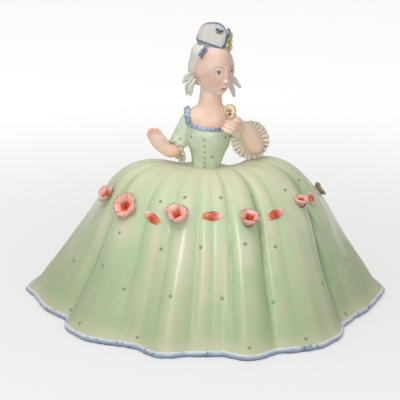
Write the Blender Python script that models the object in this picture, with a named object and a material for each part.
# Glazed ceramic lady figurine in a wide crinoline skirt, built from cast and hand-modelled pieces
# Metres, +Z up, the viewer's right is +X and the front is -Y

import math

import bmesh
import bpy
from mathutils import Matrix, Vector

# Fits
SEAM = 0.0003  # gap along every luted joint

# Skirt, cast hollow
WAIST_RADIUS = 0.0130
WAIST_HEIGHT = 0.1130
WAIST_HOLE_RADIUS = 0.0085
HIP_RADIUS = 0.0880
HIP_HEIGHT = 0.0950
HEM_RADIUS = 0.1590
SKIRT_WALL = 0.0045
GATHER_HANDLE = (0.0210, 0.0070)  # how the gathers leave the waist: outward, upward
HIP_HANDLE = (0.0210, 0.0310)  # how the hip rounds over: inward, upward
FLANK_HANDLE = (0.0130, 0.0190)  # how the flank leaves the hip: outward, downward
FLARE_HANDLE = (0.0355, 0.0360)  # how the hem flares: inward, upward
HIP_SHARE = 0.42  # share of the rows that lie between waist and hip
BACK_DROP = 0.0210  # the back falls straight from the waist, with no hip
BACK_DROP_PEAK = 0.24
BACK_DROP_SPAN = (0.6, 0.9)  # rows over which that fall dies away
HIP_LEAN = 0.0016  # the viewer's right hip sits higher than the left
HIP_SHIFT = 0.0036  # and the skirt sways to that side
GATHER_DEPTH = 0.0020
FOLD_LEAN = 0.35  # how far the folds crowd to the sides on their way up, in radians
FOLD_GROWTH = 1.8
CREASE = 0.75  # 0 gives round valleys, 1 sharp ones
RIDGES = (  # azimuth from the front in degrees, reach past the hem radius; a sharp tip has a chain of them
    (-140, 0.005),
    (-100, -0.003),
    (-92, 0.003),
    (-84, -0.005),
    (-76, -0.009),
    (-38, 0.002),
    (-12, 0.010),
    (12, 0.015),
    (33, 0.0135),
    (77, -0.003),
    (89, 0.003),
    (97, -0.003),
    (138, 0.005),
    (178, 0.008),
)
VALLEYS = (  # a wide valley has two, one at each side of its floor
    (-160, -0.006),
    (-113, -0.011),
    (-67, -0.014),
    (-58, -0.0165),
    (-25, -0.003),
    (-20, -0.002),
    (-5, 0.0035),
    (5, 0.0035),
    (20, 0.0075),
    (47, -0.0075),
    (61, -0.0095),
    (111, -0.011),
    (158, -0.006),
)
SKIRT_SIDES = 84
OUTER_ROWS = 12
INNER_ROWS = 7
INNER_TOP_ROW = 0.06  # where the hollow's ceiling begins
SLOPE_STEP = 0.002

# Hem edging, the strip that the figurine stands on
EDGING_HEIGHT = 0.0060
EDGING_WIDTH = 0.0070
EDGING_RELIEF = 0.0008

# Garland
ROSE_RADIUS = 0.0092
ROSE_HEIGHT = 0.0068
ROSE_SINK = 0.0016
ROSE_PETALS = 5
PETAL_SIDES = 4
ROSE_NOTCH = 0.07  # how far the clefts between petals draw in
ROSE_CLEFT = 0.06  # and how far they dip
ROSE_LEVELS = (  # share of the radius, share of the height, how far the petals show
    (0.42, 0.00, 0.0),
    (0.78, 0.30, 0.3),
    (0.94, 0.86, 1.0),
    (0.80, 1.00, 1.0),
    (0.52, 0.48, 0.4),
    (0.36, 0.62, 0.0),
    (0.27, 0.98, 0.0),
    (0.10, 0.84, 0.0),
)
ROSE_PLACES = (  # azimuth from the front in degrees, row between waist and hem
    (-93, 0.47),
    (-55, 0.44),
    (-17, 0.43),
    (20, 0.46),
    (64, 0.45),
    (94, 0.48),
    (133, 0.46),
    (174, 0.46),
    (-139, 0.46),
)
KNOT_LENGTH = 0.0170
KNOT_WIDTH = 0.0075
KNOT_HEIGHT = 0.0036
KNOT_SINK = 0.0009
KNOT_PINCH = 0.14
KNOT_PINCH_WIDTH = 0.25  # share of the half length
KNOT_ROUNDING = 3.2
KNOT_BLUNTNESS = 0.05
KNOT_SPANS = 8
KNOT_PLACES = (
    (-32, 0.46),
    (2, 0.44),
    (34, 0.45),
    (79, 0.48),
    (114, 0.46),
    (153, 0.46),
    (-163, 0.46),
    (-116, 0.46),
)

# Bodice, cast hollow: height over the waist, axis offset, half width, front depth, back depth
BODICE_SECTIONS = (
    (0.0000, 0.0000, 0.0121, 0.0105, 0.0095),
    (0.0120, 0.0016, 0.0152, 0.0128, 0.0105),
    (0.0190, 0.0021, 0.0183, 0.0152, 0.0110),
    (0.0280, 0.0021, 0.0188, 0.0165, 0.0112),
    (0.0360, 0.0021, 0.0184, 0.0150, 0.0108),
    (0.0440, 0.0022, 0.0188, 0.0112, 0.0096),
    (0.0490, 0.0023, 0.0184, 0.0076, 0.0074),
    (0.0520, 0.0023, 0.0172, 0.0045, 0.0045),
)
BODICE_WALL = 0.0035
BODICE_CAVITY_HEIGHT = 0.0280
BODICE_ROWS = 12
BODICE_CAVITY_ROWS = 4
BODY_SIDES = 28
FIGURE_SHIFT = 0.0010  # the figure stands a little to the viewer's right of the skirt's axis
NECKLINE_HALF_WIDTH = 0.0150
NECKLINE_FRONT = 0.0335
NECKLINE_BACK = 0.0410
TRIM_RADIUS = 0.0018
TRIM_PROUD = 0.45  # how far it stands off the edge, as a share of its radius
TRIM_RAKE = 0.6  # how much it looks upward over the shoulders
TRIM_SIDES = 8
TRIM_FRONT_STOPS = (-0.6, -0.2, 0.2, 0.6)  # shares of the neckline's half width
TRIM_RISE_STOPS = (0.10, 0.40, 0.72, 0.93)  # shares of the way up to the shoulder
TRIM_FALL_STOPS = (0.90, 0.60, 0.12)
TRIM_BACK_STOPS = (0.6, 0.0, -0.6)

# Neck and bust, in the same columns, over the neckline's floor
BUST_SECTIONS = (
    (0.0430, 0.0022, 0.0147, 0.0122, 0.0092),
    (0.0475, 0.0024, 0.0146, 0.0100, 0.0086),
    (0.0504, 0.0027, 0.0138, 0.0088, 0.0080),
    (0.0522, 0.0030, 0.0118, 0.0085, 0.0080),
    (0.0545, 0.0034, 0.0101, 0.0085, 0.0084),
    (0.0610, 0.0038, 0.0095, 0.0088, 0.0088),
    (0.0720, 0.0046, 0.0092, 0.0086, 0.0086),
)
BUST_SPREAD = 0.0018  # how much further forward the bust's foot reaches
BUST_SQUARENESS = 0.52  # 1 gives an oval, less gives squarer corners

# Arms: places over the waist's centre, then half width and half thickness
RIGHT_SLEEVE = (
    (-0.0115, 0.0000, 0.0495, 0.0030, 0.0030),
    (-0.0148, 0.0000, 0.0452, 0.0060, 0.0060),
    (-0.0188, -0.0008, 0.0360, 0.0064, 0.0062),
    (-0.0220, -0.0022, 0.0270, 0.0064, 0.0062),
    (-0.0247, -0.0040, 0.0180, 0.0070, 0.0066),
)
RIGHT_FOREARM = (
    (-0.0236, -0.0030, 0.0190, 0.0036, 0.0036),
    (-0.0258, -0.0062, 0.0148, 0.0046, 0.0044),
    (-0.0305, -0.0105, 0.0135, 0.0043, 0.0041),
    (-0.0355, -0.0132, 0.0160, 0.0036, 0.0033),
    (-0.0400, -0.0152, 0.0222, 0.0051, 0.0027),
    (-0.0442, -0.0168, 0.0290, 0.0051, 0.0023),
    (-0.0474, -0.0180, 0.0345, 0.0038, 0.0018),
    (-0.0492, -0.0186, 0.0380, 0.0017, 0.0010),
)
RIGHT_HAND_ACROSS = (0.86, 0.0, 0.50)
LEFT_SLEEVE = (
    (0.0160, 0.0000, 0.0490, 0.0030, 0.0030),
    (0.0190, 0.0005, 0.0445, 0.0060, 0.0060),
    (0.0260, 0.0020, 0.0350, 0.0066, 0.0066),
    (0.0335, 0.0005, 0.0270, 0.0072, 0.0070),
    (0.0392, -0.0035, 0.0220, 0.0075, 0.0072),
)
LEFT_FOREARM = (
    (0.0436, -0.0058, 0.0150, 0.0020, 0.0020),
    (0.0433, -0.0068, 0.0166, 0.0058, 0.0057),
    (0.0420, -0.0092, 0.0202, 0.0082, 0.0080),
    (0.0388, -0.0145, 0.0268, 0.0081, 0.0078),
    (0.0338, -0.0212, 0.0350, 0.0060, 0.0058),
    (0.0300, -0.0262, 0.0400, 0.0047, 0.0042),
    (0.0255, -0.0312, 0.0426, 0.0070, 0.0047),
    (0.0205, -0.0350, 0.0438, 0.0072, 0.0046),
    (0.0165, -0.0372, 0.0444, 0.0052, 0.0032),
    (0.0150, -0.0378, 0.0446, 0.0022, 0.0014),
)
LEFT_HAND_ACROSS = (0.12, 0.0, 0.99)
SLEEVE_ACROSS = (1.0, 0.0, 0.0)
ARM_SIDES = 12
ARM_STEPS = 2

# Lace cuffs: pleated rings round the elbows
CUFF_THICKNESS = 0.0012
RIGHT_CUFF_CENTRE = (-0.0264, -0.0068, 0.0144)
RIGHT_CUFF_AXIS = (-0.70, -0.64, -0.31)
RIGHT_CUFF_RADII = (0.0054, 0.0090)
RIGHT_CUFF_FLARE = 0.0046
RIGHT_CUFF_PLEATS = 11
LEFT_CUFF_CENTRE = (0.0378, -0.0050, 0.0238)
LEFT_CUFF_AXIS = (-0.12, -0.97, 0.20)
LEFT_CUFF_RADII = (0.0070, 0.0168)
LEFT_CUFF_FLARE = 0.0030
LEFT_CUFF_PLEATS = 18
PLEAT_DEPTH = 0.0011
PLEAT_SIDES = 4
CUFF_ROWS = (0.0, 0.5, 1.0)  # shares of the way out

# Rose in the left hand
HELD_ROSE_PLACE = (0.0200, -0.0325, 0.0512)
HELD_ROSE_AXIS = (-0.25, -0.50, 0.83)
HELD_ROSE_RADIUS = 0.0056
HELD_ROSE_HEIGHT = 0.0068
HELD_ROSE_SINK = 0.0016

# Head, turned to the viewer's right
HEAD_PLACE = (0.0065, -0.0010, 0.0840)
HEAD_TURN = 35.0
HEAD_HALF_WIDTH = 0.0168
HEAD_HALF_DEPTH = 0.0190
HEAD_HALF_HEIGHT = 0.0232
JAW_NARROWING = 0.36
FACE_FALL = 0.10  # how much less deep the head is at the chin
NAPE_FALL = 0.42
HEAD_FULLNESS = 0.86
FACE_SWELLS = (  # reach forward, then place and spread across and up in half sizes of the head
    (0.0034, 0.00, -0.30, 0.13, 0.09),
    (0.0017, 0.00, -0.14, 0.08, 0.12),
    (0.0016, 0.00, -0.84, 0.26, 0.13),
    (0.0012, 0.00, -0.56, 0.20, 0.07),
    (-0.0012, 0.40, -0.04, 0.20, 0.10),
    (-0.0012, -0.40, -0.04, 0.20, 0.10),
)
EAR_REACH = 0.0016
EAR_PLACE = (-0.08, -0.10)  # forward and up, in half sizes of the head
EAR_SPREAD = 0.16
HEAD_SIDES = 32
HEAD_ROWS = 26
FACE_CROWDING = 0.66  # the mesh is finer over the face

# Hair and its rolled curls, in the head's own directions (front -Y)
HAIR_DEPTH = 0.0026
HAIR_SIDE_DEPTH = 0.0021
HAIR_ROWS = 12
HAIR_SIDES = 24
HAIR_CROWN = 0.0014
HAIRLINE_TOP = (-0.0095, 0.0140)  # forward place and height of the hairline over the forehead
HAIRLINE_EAR = (0.0005, -0.0060)
NAPE_HEIGHT = -0.0120
CURLS = (  # root, middle, tip, half width, half thickness
    ((-0.0150, 0.0090, -0.0010), (-0.0185, 0.0135, -0.0065), (-0.0218, 0.0155, -0.0112), 0.0026, 0.0012),
    ((-0.0152, 0.0088, -0.0050), (-0.0185, 0.0115, -0.0130), (-0.0200, 0.0120, -0.0222), 0.0027, 0.0012),
    ((-0.0170, 0.0032, -0.0060), (-0.0203, 0.0050, -0.0140), (-0.0206, 0.0052, -0.0222), 0.0025, 0.0012),
    ((0.0150, 0.0030, -0.0030), (0.0200, 0.0010, -0.0090), (0.0252, -0.0022, -0.0156), 0.0026, 0.0012),
    ((0.0155, 0.0020, -0.0070), (0.0195, 0.0015, -0.0150), (0.0222, 0.0000, -0.0240), 0.0026, 0.0012),
)

CURL_STOPS = (0.75, 1.0, 0.35)  # shares of the width at root, middle and tip
CURL_ACROSS = (0.3, 1.0, 0.0)
CURL_SIDES = 8

# Three-cornered hat on the crown, its front corner over the forehead
HAT_PLACE = (-0.0030, -0.0020)  # its middle, in the head's own X and Y
HAT_NOD = 12.0
HAT_LEAN = 16.0  # away from the near panel
HAT_BASE_RADIUS = 0.0102
HAT_RIM_RADIUS = 0.0130
HAT_CORNERS = 0.18
HAT_WALL = 0.0018
HAT_HEIGHT = 0.0180
HAT_FRONT_DROP = 0.0030
HAT_CLEFT_DROP = 0.0125  # the front corner's cleft
HAT_CLEFT_WIDTH = 0.022
HAT_FAR_DROP = 0.0045  # the far panel is lower than the near one
HAT_BACK_DROP = 0.0145
HAT_BACK_SPAN = (0.75, 1.5)
HAT_SINK = 0.0026
HAT_SIDES = 36
HAT_LEVELS = (0.0, 0.35, 0.7, 1.0)
HAT_INNER_LEVELS = (1.0, 0.6)
CROWN_STEPS = ((0.62, 0.62), (0.35, 1.0))  # shares of the base radius and of the crown's height
CROWN_HEIGHT = 0.0090
HAT_EDGING_RADIUS = 0.0009
HAT_EDGING_SIDES = 6
RIM_STEP = 0.05
BOW_RADIUS = 0.0030
BOW_HEIGHT = 0.0024
BOW_LOOPS = 4
BOW_AZIMUTH = -28.0
BOW_LEVEL = 0.62
FLOWER_RADIUS = 0.0032
FLOWER_HEIGHT = 0.0026
FLOWER_PETALS = 4
FLOWER_AZIMUTHS = (38.0, 62.0, 84.0)
FLOWER_LEVELS = (0.55, 0.80, 0.45)
BLOSSOM_SINK = 0.0010
RIBBON_TOP = (-0.0112, -0.0048, 0.0205)
RIBBON_END = (-0.0176, -0.0016, 0.0105)
RIBBON_WIDTH = 0.0044
RIBBON_THICKNESS = 0.0012
RIBBON_STOPS = ((0.0, 0.0), (0.35, 0.6), (0.7, 1.0), (1.0, 0.7))  # share of the length, rise
RIBBON_OUTLINE = ((-1, -1.5), (1, -1.5), (1, 0.6), (0.45, 1.0), (0.0, 0.7), (-0.45, 1.0), (-1, 0.6))
RIBBON_NARROWING = 0.15

# Glazes: colour, roughness
GLAZES = {
    "green_glaze": ((0.60, 0.68, 0.45), 0.22),
    "blue_glaze": ((0.33, 0.41, 0.55), 0.35),
    "flesh_glaze": ((0.83, 0.60, 0.49), 0.35),
    "white_glaze": ((0.76, 0.74, 0.68), 0.35),
    "hat_glaze": ((0.70, 0.70, 0.70), 0.30),
    "lace_glaze": ((0.74, 0.68, 0.55), 0.45),
    "rose_glaze": ((0.85, 0.45, 0.36), 0.25),
    "coral_glaze": ((0.72, 0.20, 0.10), 0.25),
    "cream_glaze": ((0.86, 0.76, 0.52), 0.30),
    "yellow_glaze": ((0.62, 0.60, 0.30), 0.35),
}
SHARP_ANGLE = 50.0
HALVINGS = 40


# Scene and materials
def clear_scene():
    for old in list(bpy.data.objects):
        bpy.data.objects.remove(old, do_unlink=True)


def make_glaze(name):
    colour, roughness = GLAZES[name]
    glaze = bpy.data.materials.new(name)
    glaze.use_nodes = True
    shader = glaze.node_tree.nodes["Principled BSDF"]
    shader.inputs["Base Color"].default_value = (*colour, 1.0)
    shader.inputs["Roughness"].default_value = roughness
    shader.inputs["Metallic"].default_value = 0.0
    return glaze


def make_empty(name, place, parent=None, turn=None):
    empty = bpy.data.objects.new(name, None)
    bpy.context.scene.collection.objects.link(empty)
    empty.parent = parent
    empty.location = place
    if turn is not None:
        empty.rotation_euler = turn
    return empty


def make_object(name, shape, parent, glaze=None):
    points, faces = shape
    mesh = bpy.data.meshes.new(name)
    mesh.from_pydata([tuple(point) for point in points], [], faces)
    work = bmesh.new()
    work.from_mesh(mesh)
    bmesh.ops.recalc_face_normals(work, faces=work.faces)
    work.to_mesh(mesh)
    work.free()
    mesh.shade_smooth()
    mesh.set_sharp_from_angle(angle=math.radians(SHARP_ANGLE))
    if glaze is not None:
        mesh.materials.append(glaze)
    made = bpy.data.objects.new(name, mesh)
    bpy.context.scene.collection.objects.link(made)
    made.parent = parent
    return made


def make_cutter(name, shape, parent):
    cutter = make_object(name, shape, parent)
    cutter.hide_render = True
    cutter.display_type = "WIRE"
    return cutter


def cut(piece, *cutters):
    for cutter in cutters:
        seat = piece.modifiers.new("seat_on_" + cutter.name, "BOOLEAN")
        seat.operation = "DIFFERENCE"
        seat.solver = "EXACT"
        seat.object = cutter


# Shapes
def loft(rings, closed=False):
    sides = len(rings[0])
    points = [point for ring in rings for point in ring]
    faces = []
    spans = len(rings) if closed else len(rings) - 1
    for row in range(spans):
        low = row * sides
        high = (row + 1) % len(rings) * sides
        for side in range(sides):
            after = (side + 1) % sides
            faces.append((low + side, low + after, high + after, high + side))
    if not closed:
        for ring in (0, len(rings) - 1):
            middle = len(points)
            points.append(sum(rings[ring], Vector()) / sides)
            for side in range(sides):
                faces.append((ring * sides + side, ring * sides + (side + 1) % sides, middle))
    return points, faces


def through(rows, steps, closed=False):
    # A smooth curve through rows of numbers
    count = len(rows)
    spans = count if closed else count - 1
    result = []
    for span in range(spans):
        ends = [span - 1, span, span + 1, span + 2]
        picked = [rows[end % count] if closed else rows[min(max(end, 0), count - 1)] for end in ends]
        for step in range(steps):
            part = step / steps
            result.append(tuple(catmull(part, *values) for values in zip(*picked)))
    if not closed:
        result.append(tuple(rows[-1]))
    return result


def catmull(part, before, start, end, after):
    slope_in = (end - before) / 2
    slope_out = (after - start) / 2
    rise = end - start
    return start + part * (slope_in + part * (3 * rise - 2 * slope_in - slope_out
                                              + part * (slope_in + slope_out - 2 * rise)))


def bezier(part, start, leave, arrive, end):
    rest = 1 - part
    return [
        rest**3 * a + 3 * rest**2 * part * b + 3 * rest * part**2 * c + part**3 * d
        for a, b, c, d in zip(start, leave, arrive, end)
    ]


def smoothstep(low, high, value):
    part = min(max((value - low) / (high - low), 0.0), 1.0)
    return part * part * (3 - 2 * part)


def limb_rings(rows, across, sides, grow=0.0, closed=False):
    # Oval sections square to the path, the wide way along the given direction
    centres = [Vector(row[:3]) for row in rows]
    count = len(centres)
    rings = []
    for index, centre in enumerate(centres):
        if closed:
            run = centres[(index + 1) % count] - centres[index - 1]
        else:
            run = centres[min(index + 1, count - 1)] - centres[max(index - 1, 0)]
        run.normalize()
        wide = (across - run * across.dot(run)).normalized()
        thick = run.cross(wide)
        half_width, half_thickness = rows[index][3] + grow, rows[index][4] + grow
        rings.append([
            centre + wide * half_width * math.cos(angle) + thick * half_thickness * math.sin(angle)
            for angle in turns(sides)
        ])
    if grow and not closed:
        lead_out(rings, centres, grow)
    return rings


def lead_out(rings, centres, grow):
    # A grown limb is longer too, so that its ends keep their seam
    for end, inner in ((0, 1), (-1, -2)):
        step = (centres[end] - centres[inner]).normalized() * grow
        rings[end] = [point + step for point in rings[end]]


def turns(sides):
    return [2 * math.pi * side / sides for side in range(sides)]


def face_along(axis, place):
    # A frame at the place with its Z along the axis
    return Matrix.Translation(place) @ Vector(axis).to_track_quat("Z", "Y").to_matrix().to_4x4()


# Skirt
def skirt_profile(row):
    waist = (WAIST_RADIUS, WAIST_HEIGHT)
    hip = (HIP_RADIUS, HIP_HEIGHT)
    hem = (HEM_RADIUS, 0.0)
    if row < HIP_SHARE:
        leave = (waist[0] + GATHER_HANDLE[0], waist[1] + GATHER_HANDLE[1])
        arrive = (hip[0] - HIP_HANDLE[0], hip[1] + HIP_HANDLE[1])
        return bezier(row / HIP_SHARE, waist, leave, arrive, hip)
    leave = (hip[0] + FLANK_HANDLE[0], hip[1] - FLANK_HANDLE[1])
    arrive = (hem[0] - FLARE_HANDLE[0], hem[1] + FLARE_HANDLE[1])
    return bezier((row - HIP_SHARE) / (1 - HIP_SHARE), hip, leave, arrive, hem)


def fold_at(azimuth):
    # Reach past the hem radius, and the fold's own phase from -1 in a valley to 1 on a ridge
    stops = [(angle, reach, 1) for angle, reach in RIDGES]
    stops += [(angle, reach, -1) for angle, reach in VALLEYS]
    stops.sort()
    degrees = (math.degrees(azimuth) - stops[0][0]) % 360 + stops[0][0]
    for start, end in zip(stops, stops[1:] + [(stops[0][0] + 360, *stops[0][1:])]):
        if degrees <= end[0]:
            break
    part = (degrees - start[0]) / (end[0] - start[0])
    if start[2] == end[2]:
        return start[1] + (end[1] - start[1]) * part, start[2]
    if start[2] > 0:
        start, end, part = end, start, 1 - part
    rise = (1 - CREASE) * (1 - math.cos(math.pi * part)) / 2 + CREASE * math.sin(math.pi * part / 2)
    return start[1] + (end[1] - start[1]) * rise, 2 * rise - 1


def skirt_point(azimuth, row, offset=0.0):
    # A point of the skirt's outer face, moved outward by the offset
    radius, height = skirt_profile(row)
    ahead = skirt_profile(min(row + SLOPE_STEP, 1.0))
    behind = skirt_profile(max(row - SLOPE_STEP, 0.0))
    run = Vector((ahead[0] - behind[0], ahead[1] - behind[1])).normalized()
    reach, phase = fold_at(azimuth - FOLD_LEAN * (1 - row) * math.sin(azimuth))
    radius += reach * row**FOLD_GROWTH + GATHER_DEPTH * phase * math.sin(math.pi * row)
    peak = row / BACK_DROP_PEAK
    back = max(0.0, -math.cos(azimuth)) * (1 - smoothstep(*BACK_DROP_SPAN, row))
    hump = peak**2 * math.exp(2 - 2 * peak)
    height += hump * (HIP_LEAN * math.sin(azimuth) * (1 - row) - BACK_DROP * back)
    radius += offset * -run.y
    height += offset * run.x
    sway = HIP_SHIFT * math.sin(math.pi * row)
    return Vector((radius * math.sin(azimuth) + sway, -radius * math.cos(azimuth), height))


def skirt_row_at(height, offset=0.0):
    # The row at which the skirt's face, so moved, comes down to a height
    low, high = HIP_SHARE, 1.0
    for _ in range(HALVINGS):
        middle = (low + high) / 2
        if skirt_point(0.0, middle, offset).z > height:
            low = middle
        else:
            high = middle
    return (low + high) / 2


def skirt_ring(row, offset=0.0, height=None):
    ring = [skirt_point(azimuth, row, offset) for azimuth in turns(SKIRT_SIDES)]
    if height is not None:
        for point in ring:
            point.z = height
    return ring


def skirt_shape():
    bottom = EDGING_HEIGHT + SEAM
    last = skirt_row_at(bottom)
    inner_last = skirt_row_at(bottom, -SKIRT_WALL)
    outer = [skirt_ring(last * index / OUTER_ROWS) for index in range(OUTER_ROWS)]
    outer.append(skirt_ring(last, height=bottom))
    inner = [skirt_ring(inner_last, -SKIRT_WALL, bottom)]
    for index in range(1, INNER_ROWS + 1):
        row = inner_last + (INNER_TOP_ROW - inner_last) * index / INNER_ROWS
        inner.append(skirt_ring(row, -SKIRT_WALL))
    hole = []
    for height in (WAIST_HEIGHT - SKIRT_WALL, WAIST_HEIGHT):
        hole.append([
            Vector((WAIST_HOLE_RADIUS * math.sin(turn), -WAIST_HOLE_RADIUS * math.cos(turn), height))
            for turn in turns(SKIRT_SIDES)
        ])
    return loft(outer + inner + hole, closed=True)


def skirt_solid(grow):
    # The skirt filled in, on the same rows, and carried down to the foot
    last = skirt_row_at(EDGING_HEIGHT + SEAM)
    rows = [last * index / OUTER_ROWS for index in range(OUTER_ROWS + 1)] + [1.0]
    return loft([skirt_ring(row, grow) for row in rows])


def edging_shape():
    top = skirt_row_at(EDGING_HEIGHT)
    middle = skirt_row_at(EDGING_HEIGHT / 2)

    def inward(ring, width, height):
        moved = []
        for point in ring:
            flat = Vector((point.x, point.y, 0.0))
            flat -= flat.normalized() * width
            moved.append(Vector((flat.x, flat.y, height)))
        return moved

    foot = skirt_ring(1.0, height=0.0)
    head = skirt_ring(top, height=EDGING_HEIGHT)
    belly = skirt_ring(middle, EDGING_RELIEF, EDGING_HEIGHT / 2)
    return loft([
        head,
        belly,
        foot,
        inward(foot, EDGING_WIDTH, 0.0),
        inward(head, EDGING_WIDTH, EDGING_HEIGHT),
    ], closed=True)


def on_skirt(azimuth, row):
    # A frame on the skirt's face: X round the skirt, Y up it, Z out of it
    place = skirt_point(azimuth, row)
    around = skirt_point(azimuth + SLOPE_STEP, row) - skirt_point(azimuth - SLOPE_STEP, row)
    around.normalize()
    upward = skirt_point(azimuth, row - SLOPE_STEP) - skirt_point(azimuth, row + SLOPE_STEP)
    outward = around.cross(upward).normalized()
    upward = outward.cross(around)
    frame = Matrix((around, upward, outward)).transposed().to_4x4()
    frame.translation = place
    return frame


# Flowers and knots, built round their own Z
def rose_shape(radius, height, sink, petals):
    rings = []
    for share, level, lobes in ROSE_LEVELS:
        ring = []
        for turn in turns(petals * PETAL_SIDES):
            cleft = 2 * lobes * abs(math.sin(petals * turn / 2)) ** 3
            reach = radius * share * (1 - ROSE_NOTCH * cleft)
            rise = height * level * (1 - ROSE_CLEFT * cleft) - sink
            ring.append(Vector((reach * math.cos(turn), reach * math.sin(turn), rise)))
        rings.append(ring)
    return loft(rings)


def knot_shape():
    # A ribbon end pulled through in a soft roll, drawn in at its middle
    rows = []
    for index in range(KNOT_SPANS + 1):
        share = KNOT_BLUNTNESS + (1 - 2 * KNOT_BLUNTNESS) * index / KNOT_SPANS
        along = -math.cos(math.pi * share)
        bulge = math.sqrt(1 - abs(along) ** KNOT_ROUNDING)
        bulge *= 1 - KNOT_PINCH * math.exp(-((along / KNOT_PINCH_WIDTH) ** 2))
        half_width = KNOT_WIDTH / 2 * bulge
        half_height = KNOT_HEIGHT * bulge
        rows.append((KNOT_LENGTH / 2 * along, 0.0, -KNOT_SINK, half_width, half_height))
    return loft(limb_rings(rows, Vector((0.0, 1.0, 0.0)), ARM_SIDES))


# Bodice, bust and trim
def body_section(height, sections):
    for low, high in zip(sections, sections[1:]):
        if height <= high[0]:
            break
    part = min(max((height - low[0]) / (high[0] - low[0]), 0.0), 1.0)
    part = part * part * (3 - 2 * part) * 0.5 + part * 0.5
    return [a + (b - a) * part for a, b in zip(low[1:], high[1:])]


def body_ring(section, height, sides, grow=0.0, squareness=1.0):
    offset, half_width, front, back = section
    ring = []
    for turn in turns(sides):
        across, along = math.sin(turn), math.cos(turn)
        across = math.copysign(abs(across) ** squareness, across)
        along = math.copysign(abs(along) ** squareness, along)
        depth = (front if along > 0 else back) + grow
        ring.append(Vector((offset + (half_width + grow) * across, -depth * along, height)))
    return ring


def bodice_shape(grow=0.0):
    top = BODICE_SECTIONS[-1][0]
    start = SEAM - grow
    outer = []
    for index in range(BODICE_ROWS + 1):
        height = start + (top + grow - start) * index / BODICE_ROWS
        outer.append(body_ring(body_section(height, BODICE_SECTIONS), height, BODY_SIDES, grow))
    if grow:
        return loft(outer)
    inner = []
    for index in range(BODICE_CAVITY_ROWS, -1, -1):
        height = start + (BODICE_CAVITY_HEIGHT - start) * index / BODICE_CAVITY_ROWS
        section = body_section(height, BODICE_SECTIONS)
        inner.append(body_ring(section, height, BODY_SIDES, -BODICE_WALL))
    return loft(inner + outer)


def neckline_floor(depth):
    # Height of the neckline's cut at a distance forward of the body's axis
    front, back = BODICE_SECTIONS[3][3], BODICE_SECTIONS[4][4]
    part = (depth + back) / (front + back)
    return NECKLINE_BACK + (NECKLINE_FRONT - NECKLINE_BACK) * part


def neckline_block(grow):
    # Everything above the neckline's floor and between its sides
    offset = BODICE_SECTIONS[4][1]
    half = NECKLINE_HALF_WIDTH + grow
    reach = 2 * BODICE_SECTIONS[-1][0]
    floor = []
    for across, forward in ((-half, reach), (half, reach), (half, -reach), (-half, -reach)):
        floor.append(Vector((offset + across, -forward, neckline_floor(forward) - grow)))
    roof = [point + Vector((0.0, 0.0, reach * 2)) for point in floor]
    return loft([floor, roof])


def bust_shape(grow=0.0):
    first = BUST_SECTIONS[0]
    base = body_ring(
        (first[1], min(first[2], NECKLINE_HALF_WIDTH - SEAM), first[3] + BUST_SPREAD, first[4]),
        0.0, BODY_SIDES, grow, BUST_SQUARENESS)
    for point in base:
        point.z = neckline_floor(-point.y) + SEAM - grow
    rings = [base]
    for height, *section in through(BUST_SECTIONS, 2):
        neck = smoothstep(BUST_SECTIONS[1][0], BUST_SECTIONS[4][0], height)
        squareness = BUST_SQUARENESS + (1 - BUST_SQUARENESS) * neck
        rings.append(body_ring(section, height, BODY_SIDES, grow, squareness))
    return loft(rings)


def neckline_path():
    # Along the bodice's cut edge: front run, right side, back run, left side
    offset = BODICE_SECTIONS[4][1]
    half = NECKLINE_HALF_WIDTH
    shoulder = BODICE_SECTIONS[-1][0]

    def edge(across, height, forward):
        _, half_width, front, back = body_section(height, BODICE_SECTIONS)
        depth = math.sqrt(max(0.0, 1 - (across / max(half_width, half)) ** 2))
        return (offset + across, -front * depth if forward else back * depth, height)

    path = [edge(half * share, NECKLINE_FRONT, True) for share in TRIM_FRONT_STOPS]
    rise = [NECKLINE_FRONT + (shoulder - NECKLINE_FRONT) * share for share in TRIM_RISE_STOPS]
    path += [edge(half, height, True) for height in rise]
    path.append((offset + half, 0.0, shoulder))
    fall = [NECKLINE_BACK + (shoulder - NECKLINE_BACK) * share for share in TRIM_FALL_STOPS]
    path += [edge(half, height, False) for height in fall]
    path += [edge(half * share, NECKLINE_BACK, False) for share in TRIM_BACK_STOPS]
    path += [edge(-half, height, False) for height in reversed(fall)]
    path.append((offset - half, 0.0, shoulder))
    path += [edge(-half, height, True) for height in reversed(rise)]
    return path


def trim_shape(grow=0.0):
    path = [Vector(point) for point in through(neckline_path(), 2, closed=True)]
    middle = BODICE_SECTIONS[4][1]
    rings = []
    for index, centre in enumerate(path):
        run = path[(index + 1) % len(path)] - path[index - 1]
        run.normalize()
        outward = Vector((centre.x - middle, centre.y, TRIM_RAKE * abs(centre.x - middle)))
        outward = (outward - run * outward.dot(run)).normalized()
        side = run.cross(outward)
        middle_line = centre + outward * TRIM_RADIUS * TRIM_PROUD
        rings.append([
            middle_line + (outward * math.cos(turn) + side * math.sin(turn)) * (TRIM_RADIUS + grow)
            for turn in turns(TRIM_SIDES)
        ])
    return loft(rings, closed=True)


# Arms and cuffs
def arm_shape(rows, across, grow=0.0):
    return loft(limb_rings(through(rows, ARM_STEPS), Vector(across), ARM_SIDES, grow))


def cuff_shape(centre, axis, radii, flare, pleats):
    frame = face_along(axis, centre)
    faces = []
    for lift in (CUFF_THICKNESS / 2, -CUFF_THICKNESS / 2):
        rows = []
        for share in CUFF_ROWS:
            ring = []
            for turn in turns(pleats * PLEAT_SIDES):
                radius = radii[0] + (radii[1] - radii[0]) * share
                wave = PLEAT_DEPTH * share * math.cos(pleats * turn)
                along = flare * (share**1.5 - 0.5) + wave + lift
                ring.append(frame @ Vector((radius * math.cos(turn), radius * math.sin(turn), along)))
            rows.append(ring)
        faces.append(rows)
    return loft(faces[0] + faces[1][::-1], closed=True)


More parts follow.
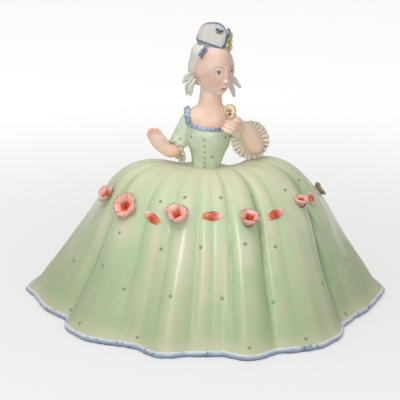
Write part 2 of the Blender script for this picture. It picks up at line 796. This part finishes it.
# Head and what it wears, in the head's own directions
def head_point(turn, lean, grow=0.0):
    # Turn round the head from the face, lean down from the crown
    level = math.cos(lean)
    low = max(0.0, -level)
    width = HEAD_HALF_WIDTH * (1 - JAW_NARROWING * low**1.6)
    front = HEAD_HALF_DEPTH * (1 - FACE_FALL * low)
    back = HEAD_HALF_DEPTH * (1 - NAPE_FALL * low**1.3)
    sine = math.sin(lean) ** HEAD_FULLNESS
    across, along = math.sin(turn), math.cos(turn)
    depth = front if along > 0 else back
    point = Vector((width * sine * across, -depth * sine * along, HEAD_HALF_HEIGHT * level))
    for reach, place, rise, spread, spread_up in FACE_SWELLS:
        gap = (width * sine * across / HEAD_HALF_WIDTH - place) / spread
        gap_up = (level - rise) / spread_up
        point.y -= reach * max(0.0, along) * math.exp(-gap**2 - gap_up**2)
    forward, rise = EAR_PLACE
    ear = math.exp(-((along - forward) / EAR_SPREAD) ** 2 - ((level - rise) / EAR_SPREAD) ** 2)
    point.x += math.copysign(EAR_REACH * ear, across)
    if grow:
        sizes = (HEAD_HALF_WIDTH, HEAD_HALF_DEPTH, HEAD_HALF_HEIGHT)
        outward = Vector([share / size**2 for share, size in zip(point, sizes)])
        point += outward.normalized() * grow
    return point


def head_shape(grow=0.0):
    rings = []
    for row in range(1, HEAD_ROWS):
        lean = math.pi * row / HEAD_ROWS
        rings.append([
            head_point(turn - FACE_CROWDING * math.sin(turn), lean, grow)
            for turn in turns(HEAD_SIDES)
        ])
    return loft(rings)


def hair_shape(grow=0.0):
    width = HEAD_HALF_WIDTH + HAIR_SIDE_DEPTH + grow
    depth = HEAD_HALF_DEPTH + HAIR_DEPTH + grow
    height = HEAD_HALF_HEIGHT + HAIR_CROWN + grow
    rings = []
    for row in range(1, HAIR_ROWS):
        lean = math.pi * row / HAIR_ROWS
        ring = []
        for turn in turns(HAIR_SIDES):
            ring.append(Vector((
                width * math.sin(lean) * math.sin(turn),
                -depth * math.sin(lean) * math.cos(turn),
                height * math.cos(lean),
            )))
        rings.append(ring)
    return loft(rings)


def face_opening():
    # All that lies before the hairline, and all that lies below the nape
    top_forward, top_height = HAIRLINE_TOP
    ear_forward, ear_height = HAIRLINE_EAR
    far = 4 * HEAD_HALF_DEPTH
    slope = (top_forward - ear_forward) / (top_height - ear_height)
    outline = [
        (top_forward + slope * (far - top_height), far),
        (ear_forward + slope * (NAPE_HEIGHT - ear_height), NAPE_HEIGHT),
        (far, NAPE_HEIGHT),
        (far, -far),
        (-far, -far),
        (-far, far),
    ]
    if outline[0][0] <= -far:
        outline[0] = (-far + SEAM, far)
    left = [Vector((-far, forward, height)) for forward, height in outline]
    right = [Vector((far, forward, height)) for forward, height in outline]
    points = left + right
    count = len(outline)
    faces = [tuple(range(count)), tuple(range(2 * count - 1, count - 1, -1))]
    for index in range(count):
        after = (index + 1) % count
        faces.append((index, after, count + after, count + index))
    return points, faces


def curl_shape(root, middle, tip, half_width, half_thickness):
    rows = []
    for share, place in zip(CURL_STOPS, (root, middle, tip)):
        rows.append((*place, half_width * share, half_thickness * (0.5 + share / 2)))
    return loft(limb_rings(through(rows, 4), Vector(CURL_ACROSS), CURL_SIDES))


def hat_frame():
    crown = Vector((*HAT_PLACE, HEAD_HALF_HEIGHT - HAT_SINK))
    nod = Matrix.Rotation(math.radians(HAT_NOD), 4, "X")
    return Matrix.Translation(crown) @ Matrix.Rotation(math.radians(HAT_LEAN), 4, "Y") @ nod


def hat_wall(turn, level, offset=0.0):
    # A point of the upturned brim: turn from the front corner, level 0 at its foot and 1 on its rim
    corner = math.cos(3 * turn)
    away = 1 - math.cos(turn)
    behind = smoothstep(*HAT_BACK_SPAN, away)
    drop = HAT_FRONT_DROP * (1 + corner) / 2 * (1 - behind) + HAT_BACK_DROP * behind
    drop += HAT_CLEFT_DROP * math.exp(-away / HAT_CLEFT_WIDTH)
    drop += HAT_FAR_DROP * max(0.0, math.sin(turn)) * (1 - behind)
    radius = HAT_BASE_RADIUS + (HAT_RIM_RADIUS - HAT_BASE_RADIUS) * level**0.8 + offset
    radius *= 1 + HAT_CORNERS * corner * (0.6 + 0.4 * level)
    height = (HAT_HEIGHT - drop) * level
    return Vector((radius * math.sin(turn), -radius * math.cos(turn), height))


def hat_shape(grow=0.0):
    outer = [[hat_wall(turn, level, grow) for turn in turns(HAT_SIDES)] for level in HAT_LEVELS]
    if grow:
        for point in outer[0]:
            point.z -= grow
        return loft(outer)
    inner = [[hat_wall(turn, level, -HAT_WALL) for turn in turns(HAT_SIDES)] for level in HAT_INNER_LEVELS]
    crown = []
    for share, level in CROWN_STEPS:
        crown.append([
            Vector((
                HAT_BASE_RADIUS * share * math.sin(turn),
                -HAT_BASE_RADIUS * share * math.cos(turn),
                CROWN_HEIGHT * level,
            ))
            for turn in turns(HAT_SIDES)
        ])
    return loft(outer + inner + crown)


def hat_edging_shape():
    # A bead that rides on the rim, clear of it by the seam
    rows = []
    for turn in turns(HAT_SIDES):
        run = (hat_wall(turn + RIM_STEP, 1.0) - hat_wall(turn - RIM_STEP, 1.0)).normalized()
        rise = hat_wall(turn, 1.0) - hat_wall(turn, 1.0 - RIM_STEP)
        rise = (rise - run * rise.dot(run)).normalized()
        rim = (hat_wall(turn, 1.0) + hat_wall(turn, 1.0, -HAT_WALL)) / 2
        place = rim + rise * (HAT_EDGING_RADIUS + 2 * SEAM)
        rows.append((*place, HAT_EDGING_RADIUS, HAT_EDGING_RADIUS))
    return loft(limb_rings(rows, Vector((0.0, 0.0, 1.0)), HAT_EDGING_SIDES, closed=True), closed=True)


def on_hat(azimuth, level):
    turn = math.radians(azimuth)
    place = hat_wall(turn, level)
    around = hat_wall(turn + RIM_STEP, level) - hat_wall(turn - RIM_STEP, level)
    upward = hat_wall(turn, level + RIM_STEP) - hat_wall(turn, level - RIM_STEP)
    return hat_frame() @ face_along(around.cross(upward), place)


def ribbon_shape():
    top, end = Vector(RIBBON_TOP), Vector(RIBBON_END)
    run = (end - top).normalized()
    out = Vector((top.x + end.x, top.y + end.y, 0.0)).normalized()
    across = run.cross(out)
    out = across.cross(run)
    rings = []
    for share, bulge in RIBBON_STOPS:
        centre = top.lerp(end, share) + out * RIBBON_THICKNESS * bulge
        half = RIBBON_WIDTH / 2 * (1 - RIBBON_NARROWING * (1 - bulge))
        rings.append([
            centre + across * half * side + out * RIBBON_THICKNESS * level
            for side, level in RIBBON_OUTLINE
        ])
    return loft(rings)


# Assembly
def build():
    clear_scene()
    glaze = {name: make_glaze(name) for name in GLAZES}

    foot = skirt_ring(1.0)
    centre_x = (max(point.x for point in foot) + min(point.x for point in foot)) / 2
    centre_y = (max(point.y for point in foot) + min(point.y for point in foot)) / 2
    figurine = make_empty("figurine", (-centre_x, -centre_y, 0.0))
    waist = make_empty("waist", (FIGURE_SHIFT, 0.0, WAIST_HEIGHT), figurine)
    head_frame = make_empty("head_frame", HEAD_PLACE, waist, (0.0, 0.0, math.radians(HEAD_TURN)))

    make_object("skirt_shell", skirt_shape(), figurine, glaze["green_glaze"])
    make_object("hem_edging", edging_shape(), figurine, glaze["blue_glaze"])
    skirt_seat = make_cutter("skirt_seat", skirt_solid(SEAM), figurine)

    for index, (azimuth, row) in enumerate(ROSE_PLACES, 1):
        shape = rose_shape(ROSE_RADIUS, ROSE_HEIGHT, ROSE_SINK, ROSE_PETALS)
        rose = make_object(f"skirt_rose_{index}", shape, figurine, glaze["rose_glaze"])
        rose.matrix_local = on_skirt(math.radians(azimuth), row)
        cut(rose, skirt_seat)
    for index, (azimuth, row) in enumerate(KNOT_PLACES, 1):
        knot = make_object(f"ribbon_knot_{index}", knot_shape(), figurine, glaze["coral_glaze"])
        knot.matrix_local = on_skirt(math.radians(azimuth), row)
        cut(knot, skirt_seat)

    bodice = make_object("bodice", bodice_shape(), waist, glaze["green_glaze"])
    neckline = make_cutter("neckline", neckline_block(0.0), waist)
    cut(bodice, neckline)
    bodice_seat = make_cutter("bodice_seat", bodice_shape(SEAM), waist)
    neckline_clear = make_cutter("neckline_clear", neckline_block(-SEAM), waist)
    cut(bodice_seat, neckline_clear)
    torso_seat = make_cutter("torso_seat", bodice_shape(SEAM), waist)

    head = make_object("head", head_shape(), head_frame, glaze["flesh_glaze"])
    head_seat = make_cutter("head_seat", head_shape(SEAM), head_frame)
    bust = make_object("neck_and_bust", bust_shape(), waist, glaze["flesh_glaze"])
    cut(bust, head_seat)
    bust_seat = make_cutter("bust_seat", bust_shape(SEAM), waist)
    trim = make_object("neckline_trim", trim_shape(), waist, glaze["blue_glaze"])
    cut(trim, bust_seat, bodice_seat)
    trim_seat = make_cutter("trim_seat", trim_shape(SEAM), waist)

    arms = (
        ("right", RIGHT_SLEEVE, RIGHT_FOREARM, RIGHT_HAND_ACROSS),
        ("left", LEFT_SLEEVE, LEFT_FOREARM, LEFT_HAND_ACROSS),
    )
    cuffs = {
        "right": (RIGHT_CUFF_CENTRE, RIGHT_CUFF_AXIS, RIGHT_CUFF_RADII, RIGHT_CUFF_FLARE, RIGHT_CUFF_PLEATS),
        "left": (LEFT_CUFF_CENTRE, LEFT_CUFF_AXIS, LEFT_CUFF_RADII, LEFT_CUFF_FLARE, LEFT_CUFF_PLEATS),
    }
    for side, sleeve_rows, arm_rows, across in arms:
        shape = arm_shape(arm_rows, across)
        forearm = make_object(f"{side}_forearm_and_hand", shape, waist, glaze["flesh_glaze"])
        cut(forearm, skirt_seat)
        arm_seat = make_cutter(f"{side}_arm_seat", arm_shape(arm_rows, across, SEAM), waist)
        shape = arm_shape(sleeve_rows, SLEEVE_ACROSS)
        sleeve = make_object(f"{side}_sleeve", shape, waist, glaze["green_glaze"])
        cut(sleeve, torso_seat, bust_seat, trim_seat, arm_seat)
        sleeve_seat = make_cutter(f"{side}_sleeve_seat", arm_shape(sleeve_rows, SLEEVE_ACROSS, SEAM), waist)
        cuff = make_object(f"{side}_cuff", cuff_shape(*cuffs[side]), waist, glaze["lace_glaze"])
        cut(cuff, sleeve_seat, arm_seat, torso_seat, skirt_seat)

    shape = rose_shape(HELD_ROSE_RADIUS, HELD_ROSE_HEIGHT, HELD_ROSE_SINK, ROSE_PETALS)
    held_rose = make_object("held_rose", shape, waist, glaze["cream_glaze"])
    held_rose.matrix_local = face_along(HELD_ROSE_AXIS, Vector(HELD_ROSE_PLACE))
    cut(held_rose, bpy.data.objects["left_arm_seat"])

    hair = make_object("hair", hair_shape(), head_frame, glaze["white_glaze"])
    opening = make_cutter("face_opening", face_opening(), head_frame)
    cut(hair, head_seat, opening)
    hair_seat = make_cutter("hair_seat", hair_shape(SEAM), head_frame)
    for index, curl in enumerate(CURLS, 1):
        roll = make_object(f"side_curl_{index}", curl_shape(*curl), head_frame, glaze["white_glaze"])
        cut(roll, hair_seat, head_seat)

    hat = make_object("hat", hat_shape(), head_frame, glaze["hat_glaze"])
    hat.matrix_local = hat_frame()
    cut(hat, hair_seat, head_seat)
    hat_seat = make_cutter("hat_seat", hat_shape(SEAM), head_frame)
    hat_seat.matrix_local = hat_frame()
    edging = make_object("hat_edging", hat_edging_shape(), head_frame, glaze["blue_glaze"])
    edging.matrix_local = hat_frame()
    shape = rose_shape(BOW_RADIUS, BOW_HEIGHT, BLOSSOM_SINK, BOW_LOOPS)
    bow = make_object("hat_bow", shape, head_frame, glaze["blue_glaze"])
    bow.matrix_local = on_hat(BOW_AZIMUTH, BOW_LEVEL)
    cut(bow, hat_seat)
    for index, (azimuth, level) in enumerate(zip(FLOWER_AZIMUTHS, FLOWER_LEVELS), 1):
        shape = rose_shape(FLOWER_RADIUS, FLOWER_HEIGHT, BLOSSOM_SINK, FLOWER_PETALS)
        flower = make_object(f"hat_flower_{index}", shape, head_frame, glaze["yellow_glaze"])
        flower.matrix_local = on_hat(azimuth, level)
        cut(flower, hat_seat, hair_seat)
    ribbon = make_object("hair_ribbon", ribbon_shape(), head_frame, glaze["blue_glaze"])
    cut(ribbon, hair_seat, hat_seat, head_seat)


build()
